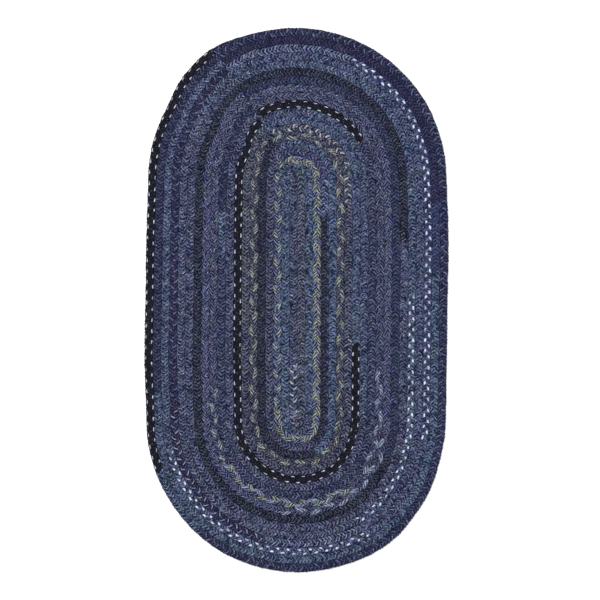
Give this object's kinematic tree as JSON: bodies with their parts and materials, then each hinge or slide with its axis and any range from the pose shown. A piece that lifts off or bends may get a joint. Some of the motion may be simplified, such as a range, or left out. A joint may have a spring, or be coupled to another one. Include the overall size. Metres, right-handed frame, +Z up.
{
  "type": "braided rug",
  "caption": "Flat oval braided rug: one long three-strand yarn braid wound from a straight core outwards and laced side to side, with its end tapered into the rim.",
  "frame": {"origin": "middle of the rug's bounding box, on the surface it lies on", "axes": "+X across the rug, +Y along its length, towards the end where the braid finishes, +Z up"},
  "size_m": [0.6792, 1.218, 0.0095],
  "materials": {
    "braided_yarn": "matt chenille and wool yarns in blue, purple, teal, black and cream, seen together"
  },
  "bodies": {
    "root": {"rug": "braided_yarn"}
  },
  "joints": []
}
